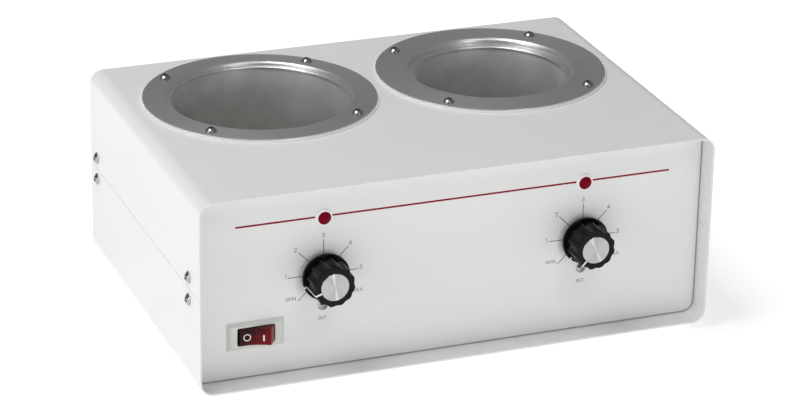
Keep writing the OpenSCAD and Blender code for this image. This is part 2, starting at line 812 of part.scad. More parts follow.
module knob_cap(side, pointer) {
    color("silver") at_knob(side, pointer) translate([0, 0, knob_standoff + knob_h - cap_t + cap_proud]) {
        cylinder(d = cap_d, h = cap_t - cap_edge);
        translate([0, 0, cap_t - cap_edge]) cylinder(d1 = cap_d, d2 = cap_d - 2 * cap_edge, h = cap_edge);
    }
}

module left_knob_cap() knob_cap(-1, left_pointer);
module right_knob_cap() knob_cap(1, right_pointer);

// A pilot lamp's lens: a sloping rim and a raised dome
module lamp_lens(side) {
    dome_r = (pow(lamp_lens_d / 2, 2) + pow(lamp_dome_h, 2)) / (2 * lamp_dome_h);
    color("darkred") on_panel(control_x(side), lamp_z) {
        cylinder(d1 = lamp_rim_d, d2 = lamp_rim_d - 2 * lamp_flange_slope, h = lamp_flange_t);
        intersection() {
            cylinder(d = lamp_lens_d, h = lamp_flange_t + lamp_dome_h);
            translate([0, 0, lamp_flange_t + lamp_dome_h - dome_r]) sphere(r = dome_r);
        }
    }
}

module left_lamp_lens() lamp_lens(-1);
module right_lamp_lens() lamp_lens(1);

// A pilot lamp's barrel behind its lens, with two tabs
module lamp_body(side) {
    color("ivory") on_panel(control_x(side), lamp_z) {
        translate([0, 0, -lamp_body_len]) cylinder(d = lamp_barrel_d, h = lamp_body_len);
        for (x = [-1, 1])
            translate([x * lamp_barrel_d / 4 - tab_t / 2, -lamp_tab_w / 2, -lamp_body_len - lamp_tab_len])
                cube([tab_t, lamp_tab_w, lamp_tab_len + cut]);
    }
}

module left_lamp_body() lamp_body(-1);
module right_lamp_body() lamp_body(1);

module lamp_clips() {
    color("silver") for (s = [-1, 1]) on_panel(control_x(s), lamp_z)
        translate([0, 0, -sheet_t - lamp_clip_t]) difference() {
            cylinder(d = lamp_clip_d, h = lamp_clip_t);
            translate([0, 0, -cut]) cylinder(d = lamp_barrel_d + 2 * thread_gap, h = lamp_clip_t + 2 * cut);
        }
}

// A sensing bulb lies level against the front of a pot, and its capillary runs to the thermostat
function bulb_y(r) = pot_y - r - pot_t - bulb_gap - bulb_d / 2;

module sensing_bulb(side, r) {
    start = [side * (pot_spacing / 2 - bulb_len / 2), bulb_y(r), bulb_z];
    end = [control_x(side), thermostat_back_y + diaphragm_t, shaft_z - diaphragm_drop];
    room = start[1] - end[1];
    color("peru") {
        translate(start) rotate([0, side * 90, 0]) cylinder(d = bulb_d, h = bulb_len);
        tube([start, start - [side * lead, 0, 0], start - [side * 1.4 * swing, 0.13 * room, 0.6 * swing],
            start - [side * 0.6 * swing, 0.4 * room, 2.2 * swing],
            end + [-side * 0.6 * swing, 0.38 * room, 0.4 * swing], end + [0, 0.13 * room, 0], end],
            capillary_d);
    }
}

module left_sensing_bulb() sensing_bulb(-1, left_r);
module right_sensing_bulb() sensing_bulb(1, right_r);

// A saddle on a pot's wall that holds the bulb
module bulb_clips() {
    color("silver") for (p = [[-1, left_r], [1, right_r]]) difference() {
        translate([p[0] * pot_spacing / 2, bulb_y(p[1]), bulb_z]) difference() {
            translate([-clip_w / 2, -bulb_d / 2 - clip_t, -bulb_d / 2 - clip_t])
                cube([clip_w, bulb_d + 2 * clip_t + clip_w / 4, bulb_d + 2 * clip_t]);
            rotate([0, 90, 0]) cylinder(d = bulb_d + 2 * running_gap, h = clip_w + 2 * cut, center = true);
        }
        translate([p[0] * pot_spacing / 2, pot_y, bulb_z - bulb_d])
            cylinder(r = p[1] + pot_t + seat_gap / 2, h = 2 * bulb_d, $fn = round_fn);
    }
}

// The switch's bezel with four sloping sides, its body behind the panel and the rocker's well
module switch_housing() {
    color("ivory") translate([switch_x, panel_y, switch_z]) difference() {
        union() {
            intersection() {
                linear_extrude(height = bezel_h, center = true) bezel_section(bezel_w);
                rotate([0, 90, 0]) linear_extrude(height = bezel_w, center = true) bezel_section(bezel_h);
            }
            translate([-switch_body_w / 2, 0, -switch_body_h / 2])
                cube([switch_body_w, switch_body_d, switch_body_h]);
            translate([0, sheet_t, -snap_w / 2]) linear_extrude(height = snap_w) polygon([
                [-switch_body_w / 2 - snap_out, 0], [switch_body_w / 2 + snap_out, 0],
                [switch_body_w / 2, snap_d], [-switch_body_w / 2, snap_d]]);
        }
        translate([0, well_d, 0]) rotate([90, 0, 0]) linear_extrude(height = bezel_t + cut + well_d)
            rounded_plate(rocker_w + 2 * rocker_gap, rocker_h + 2 * rocker_gap, rocker_corner + rocker_gap);
        translate([0, pivot_y - panel_y, 0])
            cylinder(d = pin_d + 2 * running_gap, h = switch_body_h + 2 * cut, center = true, $fn = hole_fn);
    }
}

module bezel_section(w) {
    polygon([[-w / 2, 0], [w / 2, 0], [w / 2 - bezel_slope, -bezel_t], [-w / 2 + bezel_slope, -bezel_t]]);
}

module switch_terminals() {
    color("gold") for (x = [-1, 1]) for (z = [-1, 1])
        translate(switch_end(x, z) - [tab_w / 2, tab_len, tab_t / 2]) cube([tab_w, tab_len, tab_t]);
}

module switch_pivot_pin() {
    color("silver") translate([switch_x, pivot_y, switch_z])
        cylinder(d = pin_d, h = switch_body_h, center = true, $fn = hole_fn);
}

// The rocker at rest has its O side pressed in; its outline is drawn level and turned by the tilt
module switch_rocker() {
    dish_r = (pow(rocker_tip, 2) + pow(rocker_dish, 2)) / (2 * rocker_dish);
    dish_a = asin(rocker_tip / dish_r);
    color("darkred") translate([switch_x, pivot_y, switch_z]) rotate([0, 0, -rocker_tilt]) difference() {
        intersection() {
            translate([0, 0, -rocker_h / 2]) linear_extrude(height = rocker_h) polygon(concat(
                [[-rocker_r, 0]],
                arc(0, -(rocker_rise - rocker_dish + dish_r), dish_r, 90 + dish_a, 90 - dish_a, 12),
                [[rocker_r, 0], [rocker_r - rocker_taper, rocker_bottom],
                [-rocker_r + rocker_taper, rocker_bottom]]));
            translate([0, rocker_h, 0]) rotate([90, 0, 0]) linear_extrude(height = 2 * rocker_h)
                rounded_plate(rocker_w, rocker_h, rocker_corner);
        }
        cylinder(d = pin_d + 2 * running_gap, h = rocker_h + 2 * cut, center = true, $fn = hole_fn);
    }
}

module at_each_inlet_screw() {
    for (x = [-1, 1]) translate([inlet_x + x * inlet_pitch / 2, rear_panel_y, inlet_z])
        rotate([-90, 0, 0]) children();
}

// The mains inlet: a flange outside the rear panel and a socket with two cut corners
module power_inlet() {
    color("dimgray") difference() {
        union() {
            translate([inlet_x - inlet_flange_w / 2, rear_panel_y, inlet_z - inlet_flange_h / 2])
                cube([inlet_flange_w, inlet_flange_t, inlet_flange_h]);
            translate([inlet_x - inlet_body_w / 2, rear_panel_y - inlet_body_d, inlet_z - inlet_body_h / 2])
                cube([inlet_body_w, inlet_body_d + cut, inlet_body_h]);
        }
        translate([inlet_x, rear_panel_y + inlet_flange_t + cut, inlet_z]) rotate([90, 0, 0])
            linear_extrude(height = socket_d + cut) polygon([
                [-socket_w / 2, -socket_h / 2], [socket_w / 2, -socket_h / 2], [socket_w / 2, socket_h / 4],
                [socket_w / 3, socket_h / 2], [-socket_w / 3, socket_h / 2], [-socket_w / 2, socket_h / 4]]);
        inlet_blades(thread_gap);
        at_each_inlet_screw() translate([0, 0, -cut]) clear_hole(inlet_screw_d, inlet_flange_t + 2 * cut);
    }
}

// The inlet's three blades, from the wires' ends inside the case to their tips in the socket
module inlet_blades(gap) {
    tip_y = rear_panel_y + inlet_flange_t - socket_d + blade_out;
    for (i = [0:len(blade_places) - 1]) translate(inlet_end(i) - [blade_w / 2 + gap, 0, blade_h / 2 + gap])
        cube([blade_w + 2 * gap, tip_y - inlet_end_y, blade_h + 2 * gap]);
}

module inlet_pins() {
    color("silver") inlet_blades(0);
}

module inlet_screws() {
    color("silver") at_each_inlet_screw() translate([0, 0, inlet_flange_t])
        pan_screw(inlet_screw_d, inlet_flange_t + sheet_t + m3_nut_h + thread_out,
            inlet_head_d, inlet_head_h);
}

module inlet_nuts() {
    color("silver") at_each_inlet_screw() translate([0, 0, -sheet_t - m3_nut_h])
        hex_nut(m3_nut_af, m3_nut_h, inlet_screw_d);
}

module at_each_block_screw() {
    for (x = [-1, 1]) translate([block_x + x * block_pitch / 2, block_y, 0]) children();
}

// The terminal block on the floor, with a wire hole at both ends of each of its ways
module terminal_block() {
    color("ivory") difference() {
        translate([block_x - block_w / 2, block_y - block_d / 2, floor_z]) cube([block_w, block_d, block_h]);
        for (i = [0:ways - 1]) for (y = [-1, 1]) translate(way_end(i, y)) rotate([-y * 90, 0, 0])
            cylinder(d = way_d, h = way_depth + cut, $fn = hole_fn);
        at_each_block_screw() translate([0, 0, base_z])
            cylinder(d = block_screw_d + 2 * thread_gap, h = sheet_t + block_h / 2, $fn = hole_fn);
    }
}

// The block's screws come up through the floor, with their heads under it
module terminal_screws() {
    color("silver") at_each_block_screw() translate([0, 0, base_z]) mirror([0, 0, 1])
        pan_screw(block_screw_d, sheet_t + block_h / 2 - cut, inlet_head_d, inlet_head_h);
}

module earth_nut() {
    color("gold") translate([inlet_x, earth_y, floor_z + earth_nut_gap])
        hex_nut(m4_nut_af, m4_nut_h, earth_d);
}

// A smooth curve through the points, with a few steps between each two
function spline(p, n) = [for (i = [0:len(p) - 2]) for (k = [0:n - 1])
    let (a = p[max(i - 1, 0)], b = p[i], c = p[i + 1], d = p[min(i + 2, len(p) - 1)], len = norm(c - b))
    between(b, c, len * unit(c - a), len * unit(d - b), k / n)];
// The point at the share t of the way from b to c, for the slope u at b and v at c
function between(b, c, u, v, t) =
    (1 - t) * (1 - t) * ((1 + 2 * t) * b + t * u) + t * t * ((3 - 2 * t) * c - (1 - t) * v);
function unit(v) = v / norm(v);
// A direction square to the curve's start, which is carried along it so that the tube doesn't twist
function any_normal(t) = unit(cross(t, abs(t[2]) < 0.8 ? [0, 0, 1] : [1, 0, 0]));
function carried(t, n, i = 0) = i >= len(t) ? [] :
    let (m = unit(n - (n * t[i]) * t[i])) concat([m], carried(t, m, i + 1));

// A tube swept along a smooth curve through the points, with its ends square to its first and last legs
module tube(route, d, sides = 6, steps = 3) {
    p = concat(spline(route, steps), [route[len(route) - 1]]);
    last = len(p) - 1;
    t = concat([unit(route[1] - route[0])], [for (i = [1:last - 1]) unit(p[i + 1] - p[i - 1])],
        [unit(route[len(route) - 1] - route[len(route) - 2])]);
    n = carried(t, any_normal(t[0]));
    points = [for (i = [0:last]) for (k = [0:sides - 1]) let (a = 360 * k / sides)
        p[i] + d / 2 * (cos(a) * n[i] + sin(a) * cross(t[i], n[i]))];
    walls = [for (i = [0:sides:(last - 1) * sides]) for (k = [0:sides - 1]) let (j = (k + 1) % sides)
        each [[i + k, i + sides + j, i + j], [i + k, i + sides + k, i + sides + j]]];
    ends = [[for (k = [0:sides - 1]) k], [for (k = [sides - 1:-1:0]) last * sides + k]];
    polyhedron(points, concat(walls, ends), convexity = 10);
}

// The wires' ends: each is the middle of the face that its wire meets
inlet_end_y = rear_panel_y - inlet_body_d - tab_len;
function inlet_end(i) = [inlet_x + blade_places[i][0], inlet_end_y, inlet_z + blade_places[i][1]];
function switch_end(x, z) =
    [switch_x + x * switch_body_w / 4, panel_y + switch_body_d + tab_len, switch_z + z * switch_body_h / 4];
function thermostat_end(side, x) = [control_x(side) + x * body_w / 3,
    thermostat_back_y + tab_len, shaft_z + body_h / 3 + tab_t / 2];
function heater_end(side, r, x) =
    [side * pot_spacing / 2 + x * tab_spacing / 2, tab_face_y(r) - tab_len, band_z + band_h / 2];
function cutout_end(side, y) = [side * pot_spacing / 2, pot_y + y * cutout_d / 4,
    pot_floor_z - pot_t - cutout_plate_t - cutout_h - tab_len];
function lamp_end(side, x) =
    [control_x(side) + x * lamp_barrel_d / 4, panel_y + lamp_body_len + lamp_tab_len, lamp_z];
function way_end(i, y) = [block_x + (i - (ways - 1) / 2) * way_pitch, block_y + y * (block_d / 2 - way_depth),
    floor_z + block_h / 2];

// A wire leaves the end a straight in the direction da, passes the middle points and arrives straight at b;
// its straight lead from each end has two legs, ra and rb long
module wire(a, da, ra, middle, b, db, rb) {
    tube(concat([a, a + ra * da, a + 2 * ra * da], middle, [b + 2 * rb * db, b + rb * db, b]), wire_d);
}

// Live and neutral from the inlet to the switch, and earth to the stud between them
module supply_wires() {
    nut_face = [inlet_x, earth_y + m4_nut_af / 2, floor_z + earth_nut_gap + m4_nut_h / 2];
    color("brown") for (x = [-1, 1]) {
        a = inlet_end(x < 0 ? 0 : 1);
        b = switch_end(x, -1);
        wire(a, front, 0.1 * lead,
            [a - [0, 0.28 * swing, 0.5 * swing], [a[0], a[1] - 0.6 * swing, 0.6 * low_z + 0.4 * a[2]],
            [a[0], a[1] - 1.4 * swing, low_z + 0.4 * swing], [a[0], earth_y - 1.2 * swing, low_z],
            [b[0], 0.7 * b[1] + 0.3 * a[1], low_z]],
            b, back, 0.75 * lead);
    }
    color("green") wire(inlet_end(2), front, 0.15 * lead, [], nut_face, back, 0.4 * lead);
}

// From the switch round to the front of the terminal block's outer ways
module switched_wires() {
    a = switch_end(1, 1);
    b = switch_end(-1, 1);
    live = way_end(0, -1);
    neutral = way_end(ways - 1, -1);
    color("brown") wire(a, back, lead,
        [[a[0] + 2.8 * swing, a[1] + swing, low_z + 1.6 * swing], live + swing * [-2.8, -1.8, 0.4]],
        live, front, lead);
    color("blue") wire(b, back, lead,
        [[b[0] + 3.4 * swing, b[1] + 2.4 * swing, low_z + 2 * swing], live + swing * [-3.4, -2.6, 1.6],
        [block_x, live[1] - 2.6 * swing, low_z + 1.4 * swing]], neutral, front, lead);
}

// From the block's back to the thermostat, the heater, the cut-out and the block again, on both sides
module heater_wires() {
    for (p = [[-1, left_r, 0, 2], [1, right_r, 5, 3]]) {
        side = p[0];
        live = way_end(p[2], 1);
        neutral = way_end(p[3], 1);
        a = thermostat_end(side, -side);
        b = thermostat_end(side, side);
        c = heater_end(side, p[1], side);
        d = heater_end(side, p[1], -side);
        e = cutout_end(side, -1);
        f = cutout_end(side, 1);
        room = c[1] - b[1];
        drop = e[2] - floor_z - wire_d;
        color("brown") {
            wire(live, back, lead,
                [live + swing * [side * 2.8, 1.4, 2.6], a + [-side * swing, 0.5 * room, -1.4 * swing]],
                a, back, room / 8);
            wire(b, back, room / 10, [], c, front, room / 10);
            wire(d, front, room / 10, [d + [-side * 0.6 * swing, -0.25 * room, -2.4 * swing],
                [d[0] - side * 0.2 * swing, e[1] - 4.6 * swing, low_z + 0.6 * swing]], e, down, drop / 4);
        }
        color("blue") wire(f, down, drop / 2.5, [[neutral[0] + side * 4.4 * swing, e[1] - 1.4 * swing, low_z],
            neutral + swing * [side * 1.2, 4, 0]], neutral, back, lead);
    }
}

// From each lamp's two tabs to the front of the block's inner ways
module lamp_wires() {
    color("gray") for (side = [-1, 1]) {
        outer = lamp_end(side, side);
        inner = lamp_end(side, -side);
        near = way_end(side < 0 ? 1 : 4, -1);
        far = way_end(side < 0 ? 2 : 3, -1);
        wire(outer, back, lead, [outer + swing * [0, 1.4, -1.4], outer + swing * [-side * 3.6, 0.8, -3.6],
            near + swing * [side * 2.8, -1.2, 3.8]], near, front, lead);
        wire(inner, back, lead, [inner + swing * [-side * 4, 1.2, -1.2],
            far + swing * [side * 2.6, -1.2, 5.2]], far, front, lead);
    }
}

top_cover();
bottom_cover();
front_panel();
rear_panel();
left_side_screws();
right_side_screws();
side_screw_nuts();
feet();
foot_screws();
foot_nuts();
left_pot();
right_pot();
left_pot_gasket();
right_pot_gasket();
left_flange_screws();
right_flange_screws();
flange_nuts();
left_heater_band();
right_heater_band();
heater_tabs();
band_clamp_screws();
band_clamp_nuts();
left_thermal_cutout();
right_thermal_cutout();
cutout_nuts();
left_thermostat();
right_thermostat();
thermostat_nuts();
thermostat_fixing_screws();
left_sensing_bulb();
right_sensing_bulb();
bulb_clips();
left_thermostat_shaft();
right_thermostat_shaft();
left_knob_insert();
right_knob_insert();
left_knob();
right_knob();
left_knob_cap();
right_knob_cap();
left_lamp_lens();
right_lamp_lens();
left_lamp_body();
right_lamp_body();
lamp_clips();
switch_housing();
switch_terminals();
switch_pivot_pin();
switch_rocker();
power_inlet();
inlet_pins();
inlet_screws();
inlet_nuts();
terminal_block();
terminal_screws();
earth_nut();
supply_wires();
switched_wires();
heater_wires();
lamp_wires();
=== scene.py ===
"""The looks of the double wax warmer: materials, printed marks, studio light and the camera."""

import math

import bmesh
import bpy
from mathutils import Matrix, Vector


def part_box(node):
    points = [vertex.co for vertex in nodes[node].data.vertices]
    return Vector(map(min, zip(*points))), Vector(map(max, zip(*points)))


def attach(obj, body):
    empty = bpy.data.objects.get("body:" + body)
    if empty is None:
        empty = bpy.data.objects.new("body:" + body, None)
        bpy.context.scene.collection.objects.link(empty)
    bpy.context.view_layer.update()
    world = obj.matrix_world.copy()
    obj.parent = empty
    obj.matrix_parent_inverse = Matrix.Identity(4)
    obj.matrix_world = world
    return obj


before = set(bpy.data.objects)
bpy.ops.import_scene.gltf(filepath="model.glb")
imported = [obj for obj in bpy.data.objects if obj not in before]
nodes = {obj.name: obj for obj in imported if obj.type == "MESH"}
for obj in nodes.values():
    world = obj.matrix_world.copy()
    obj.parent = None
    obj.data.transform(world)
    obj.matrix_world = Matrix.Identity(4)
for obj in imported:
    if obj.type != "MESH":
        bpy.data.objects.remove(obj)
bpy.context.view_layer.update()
scene = bpy.context.scene

# Places on the part, in metres in the part's frame, as the part's source has them
CONTROL_X = {"left": -0.1007, "right": 0.1033}
SHAFT_Z = 0.0815
LAMP_Z = 0.1258
PANEL_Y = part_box("front_panel")[0].y
POT_X = {"left": -0.094, "right": 0.094}
POT_Y = 0.0457
SWITCH_X = -0.1525
SWITCH_Z = 0.0412
PIVOT_Y = -0.1162
MM = 0.001
PRINT = 0.00005  # the thickness of a printed mark


# ---------------------------------------------------------------- materials


class Finish:
    """A material built from nodes: one shader, a mottled colour, an uneven roughness and a fine relief."""

    ROUGH_FINER = 3.7  # how many times finer the roughness varies than the colour

    def __init__(self, name, colour, rough, metal=0.0, mottle=(30, 0.05), grain=(900, 0.00001), **constants):
        self.material = bpy.data.materials.new(name)
        self.material.use_nodes = True
        self.tree = self.material.node_tree
        self.shader = self.tree.nodes["Principled BSDF"]
        self.shader.inputs["Metallic"].default_value = metal
        for socket, value in constants.items():
            self.shader.inputs[socket.replace("_", " ")].default_value = value
        self.place = self.add("ShaderNodeTexCoord").outputs["Object"]
        self.colour = self.mix(
            self.noise(mottle[0]), shade(colour, 1 - mottle[1]), shade(colour, 1 + mottle[1])
        )
        self.rough = self.between(self.noise(mottle[0] * self.ROUGH_FINER, 4), rough[0], rough[1])
        self.relief = self.bump(self.noise(grain[0], 3), grain[1])
        self.wire()

    def add(self, kind, **settings):
        """A new node of the material, with its settings."""
        node = self.tree.nodes.new(kind)
        for key, value in settings.items():
            setattr(node, key, value)
        return node

    def feed(self, socket, value):
        """Links another node's output to a socket, or sets it to a constant."""
        if isinstance(value, bpy.types.NodeSocket):
            self.tree.links.new(value, socket)
        else:
            socket.default_value = value

    def wire(self):
        """Takes the colour, roughness and relief as they are now into the shader."""
        self.feed(self.shader.inputs["Base Color"], self.colour)
        self.feed(self.shader.inputs["Roughness"], self.rough)
        self.feed(self.shader.inputs["Normal"], self.relief)

    def noise(self, scale, detail=2, at=None):
        """Noise of about scale spots to a metre."""
        node = self.add("ShaderNodeTexNoise")
        node.inputs["Scale"].default_value = scale
        node.inputs["Detail"].default_value = detail
        self.feed(node.inputs["Vector"], at or self.place)
        return node.outputs["Fac"]

    def between(self, value, low, high, start=0.3, end=0.7):
        """Maps start to low and end to high, and holds both beyond."""
        node = self.add("ShaderNodeMapRange")
        self.feed(node.inputs["Value"], value)
        for socket, number in (("From Min", start), ("From Max", end), ("To Min", low), ("To Max", high)):
            node.inputs[socket].default_value = number
        return node.outputs["Result"]

    def mix(self, share, a, b):
        """Blends two colours: the Mix node's colour sockets are inputs 6 and 7 and output 2."""
        node = self.add("ShaderNodeMix", data_type="RGBA")
        self.feed(node.inputs["Factor"], share)
        self.feed(node.inputs[6], a)
        self.feed(node.inputs[7], b)
        return node.outputs[2]

    def math(self, operation, a, b=0.0):
        """One sum on node outputs or constants."""
        node = self.add("ShaderNodeMath", operation=operation)
        self.feed(node.inputs[0], a)
        self.feed(node.inputs[1], b)
        return node.outputs[0]

    def bump(self, height, depth, under=None):
        """A relief of a depth in metres, on top of another one if it is given."""
        node = self.add("ShaderNodeBump")
        node.inputs["Strength"].default_value = 1.0
        node.inputs["Distance"].default_value = depth
        self.feed(node.inputs["Height"], height)
        if under:
            self.feed(node.inputs["Normal"], under)
        return node.outputs["Normal"]

    def around(self, centre, axis):
        """The distance from an axis through centre, and the place along it."""
        shift = self.add("ShaderNodeVectorMath", operation="SUBTRACT")
        self.feed(shift.inputs[0], self.place)
        shift.inputs[1].default_value = centre
        parts = self.add("ShaderNodeSeparateXYZ")
        self.feed(parts.inputs[0], shift.outputs[0])
        along = parts.outputs["XYZ".index(axis)]
        across = [parts.outputs[i] for i in range(3) if "XYZ"[i] != axis]
        squares = [self.math("MULTIPLY", a, a) for a in across]
        return self.math("SQRT", self.math("ADD", *squares)), along

    def turned(self, centre, axis, scale, depth, rough, anisotropy):
        """Fine rings as a lathe leaves them on wider, deeper ones, and a highlight drawn out along them."""
        radius, along = self.around(centre, axis)
        flat = self.add("ShaderNodeCombineXYZ")
        self.feed(flat.inputs[0], radius)
        self.feed(flat.inputs[1], along)
        fine = self.noise(scale, 3, flat.outputs[0])
        wide = self.noise(scale / 9, 2, flat.outputs[0])
        self.relief = self.bump(fine, depth, self.bump(wide, depth * 4))
        self.rough = self.between(fine, rough[0], rough[1])
        self.shader.inputs["Anisotropic"].default_value = anisotropy
        self.shader.inputs["Anisotropic Rotation"].default_value = 0.25
        tangent = self.add("ShaderNodeTangent", direction_type="RADIAL", axis=axis)
        self.feed(self.shader.inputs["Tangent"], tangent.outputs[0])
        self.wire()
        return self


def shade(colour, k):
    """A colour made k times as bright, with its alpha."""
    return (colour[0] * k, colour[1] * k, colour[2] * k, 1.0)


def give(finish, *names):
    """Puts a finish on nodes of the frame."""
    for name in names:
        piece = nodes[name]
        if not piece.material_slots:
            piece.data.materials.append(None)
        for place in piece.material_slots:
            place.material = finish.material


WHITE = (0.80, 0.80, 0.795)
case = Finish("case_coat", WHITE, (0.36, 0.46), mottle=(9, 0.012), grain=(850, 0.000012), Coat_Weight=0.12)
give(case, "top_cover", "bottom_cover")
panel = Finish("panel_coat", WHITE, (0.34, 0.44), mottle=(12, 0.012), grain=(1100, 0.000008), Coat_Weight=0.1)
give(panel, "front_panel", "rear_panel")

# The pots' flanges and rims are bright. Below the ledge the walls are satin, with painted shade that makes
# their colour darker the lower they are.
ALUMINIUM = (0.74, 0.745, 0.75)
FLANGE_ROUGH = (0.34, 0.42)
WALL_ROUGH = 0.47
WALL_METAL = 0.7
LEDGE_Z = {"left": 0.1545, "right": 0.1520}
SHADE_DEPTH = 0.075  # how far under the ledge the painted shade is at its darkest
# painted shade: the wall's colours deep in the pot, mixed by a random stain
PAINTED_SHADE_WALL = ((0.41, 0.42, 0.395, 1.0), (0.47, 0.48, 0.455, 1.0))
# the wall's colours just under the ledge, mixed by the same random stain
UPPER_WALL = ((0.72, 0.735, 0.725, 1.0), (0.84, 0.855, 0.845, 1.0))
for side, x in POT_X.items():
    ledge = LEDGE_Z[side]
    pot = Finish(side + "_pot_spun", ALUMINIUM, FLANGE_ROUGH, 1.0, mottle=(25, 0.05))
    pot.turned((x, POT_Y, 0), "Z", 900, 0.000008, FLANGE_ROUGH, 0.3)
    _, height = pot.around((x, POT_Y, 0), "Z")
    wall = pot.between(height, 1.0, 0.0, ledge - 1.5 * MM, ledge + 0.5 * MM)
    # painted shade: the share of the deep, darker colours, growing the lower the wall is
    low = pot.between(height, 1.0, 0.0, ledge - SHADE_DEPTH, ledge)
    stain = pot.between(pot.noise(60, 5), 0.0, 1.0)
    pot.colour = pot.mix(wall, pot.colour, pot.mix(low, pot.mix(stain, *UPPER_WALL), pot.mix(stain, *PAINTED_SHADE_WALL)))
    pot.rough = pot.math("MAXIMUM", pot.rough, pot.math("MULTIPLY", wall, WALL_ROUGH))
    pot.feed(pot.shader.inputs["Metallic"], pot.between(wall, 1.0, WALL_METAL, 0.0, 1.0))
    pot.wire()
    give(pot, side + "_pot")

CAP_METAL = (0.46, 0.46, 0.465)
CAP_ROUGH = (0.22, 0.28)
for side, x in CONTROL_X.items():
    cap = Finish(side + "_cap_turned", CAP_METAL, CAP_ROUGH, 1.0, mottle=(90, 0.02))
    cap.turned((x, 0, SHAFT_Z), "Y", 5200, 0.000002, CAP_ROUGH, 1.0)
    give(cap, side + "_knob_cap")

gasket = Finish("gasket_silicone", (0.86, 0.86, 0.84), (0.5, 0.62), mottle=(60, 0.03), Subsurface_Weight=0.1)
gasket.shader.inputs["Subsurface Scale"].default_value = 0.001
give(gasket, "left_pot_gasket", "right_pot_gasket")

BRIGHT = (0.4, 0.4, 0.405)
plated = Finish("plated_screws", BRIGHT, (0.1, 0.16), 1.0, mottle=(400, 0.06), grain=(2500, 0.000002))
give(plated, *[n for n in nodes if n.endswith("screws")])
zinc = Finish("zinc_nuts", (0.58, 0.59, 0.62), (0.25, 0.45), 1.0, mottle=(300, 0.12), grain=(1800, 0.00001))
give(zinc, *[n for n in nodes if n.endswith("nuts") and n != "earth_nut"], "lamp_clips", "bulb_clips")
give(zinc, "switch_pivot_pin", "left_thermostat_shaft", "right_thermostat_shaft", "inlet_pins")
BRASS = (0.72, 0.52, 0.22)
brass = Finish("brass_fittings", BRASS, (0.22, 0.4), 1.0, mottle=(250, 0.1), grain=(1500, 0.00001))
give(brass, "earth_nut", "heater_tabs", "switch_terminals", "left_knob_insert", "right_knob_insert")
COPPER = (0.72, 0.36, 0.22)
copper = Finish("copper_bulbs", COPPER, (0.25, 0.45), 1.0, mottle=(120, 0.15), grain=(1300, 0.00001))
give(copper, "left_sensing_bulb", "right_sensing_bulb")
band = Finish("band_steel", (0.42, 0.42, 0.41), (0.35, 0.6), 1.0, mottle=(45, 0.2), grain=(700, 0.00003))
give(band, "left_heater_band", "right_heater_band")

knob = Finish(
    "knob_plastic",
    (0.004, 0.0035, 0.004),
    (0.1, 0.15),
    mottle=(150, 0.2),
    grain=(1200, 0.000001),
    Specular_IOR_Level=0.15,
)
give(knob, "left_knob", "right_knob")
black = Finish("black_moulding", (0.02, 0.02, 0.021), (0.42, 0.58), mottle=(120, 0.25), grain=(1600, 0.00002))
give(black, "power_inlet", "left_thermostat", "right_thermostat")
give(black, "left_thermal_cutout", "right_thermal_cutout")
rubber = Finish("foot_rubber", (0.03, 0.03, 0.032), (0.6, 0.8), mottle=(150, 0.25), grain=(1400, 0.00004))
give(rubber, "feet")
ivory = Finish("pale_moulding", (0.74, 0.73, 0.68), (0.4, 0.55), mottle=(60, 0.05), grain=(1500, 0.00001))
give(ivory, "left_lamp_body", "right_lamp_body", "terminal_block")
bezel = Finish("bezel_plastic", (0.66, 0.67, 0.64), (0.32, 0.44), mottle=(80, 0.03), grain=(1500, 0.000012))
give(bezel, "switch_housing")

# Painted light: the rocker's translucent red is painted brighter towards the lower right
PAINTED_LIT_RED = (0.24, 0.001, 0.006, 1.0)
PAINTED_LIGHT_START = SWITCH_X - SWITCH_Z + 0.006
PAINTED_LIGHT_END = SWITCH_X - SWITCH_Z + 0.034
rocker = Finish(
    "rocker_plastic",
    (0.02, 0.0, 0.002),
    (0.08, 0.16),
    mottle=(170, 0.5),
    grain=(1500, 0.000001),
    Specular_IOR_Level=0.15,
)
parts = rocker.add("ShaderNodeSeparateXYZ")
rocker.feed(parts.inputs[0], rocker.place)
slant = rocker.math("SUBTRACT", parts.outputs[0], parts.outputs[2])
cloud = rocker.math("MULTIPLY", rocker.noise(260, 3), 0.03)
# how much painted light the rocker's colour gets, rising towards the lower right
glow = rocker.between(rocker.math("ADD", slant, cloud), 0.0, 1.0, PAINTED_LIGHT_START, PAINTED_LIGHT_END)
rocker.colour = rocker.mix(glow, rocker.colour, PAINTED_LIT_RED)
rocker.wire()
give(rocker, "switch_rocker")

# A lamp's lens is red with fine rings, and its rim is white
LENS_RED = (0.19, 0.0005, 0.012)
RIM_WHITE = (0.96, 0.96, 0.95, 1.0)
LENS_R = 0.005
LENS_RINGS = 9000.0
for side, x in CONTROL_X.items():
    lens = Finish(side + "_lens_plastic", LENS_RED, (0.3, 0.4), mottle=(300, 0.12), Specular_IOR_Level=0.05)
    radius, _ = lens.around((x, 0, LAMP_Z), "Y")
    rim = lens.between(radius, 0.0, 1.0, LENS_R - PRINT, LENS_R + PRINT)
    lens.colour = lens.mix(rim, lens.colour, RIM_WHITE)
    lens.relief = lens.bump(lens.math("SINE", lens.math("MULTIPLY", radius, LENS_RINGS)), 0.00003)
    lens.wire()
    give(lens, side + "_lamp_lens")


def islands(mesh):
    """The number of the solid that each polygon belongs to, from the lowest vertex up."""
    place = {}
    root = []
    for v in mesh.vertices:
        key = tuple(round(c, 6) for c in v.co)
        root.append(place.setdefault(key, v.index))

    def top(i):
        while root[i] != i:
            root[i] = root[root[i]]
            i = root[i]
        return i

    for p in mesh.polygons:
        first = top(p.vertices[0])
        for i in p.vertices[1:]:
            root[top(i)] = first
    found = {}
    return [found.setdefault(top(p.vertices[0]), len(found)) for p in mesh.polygons]


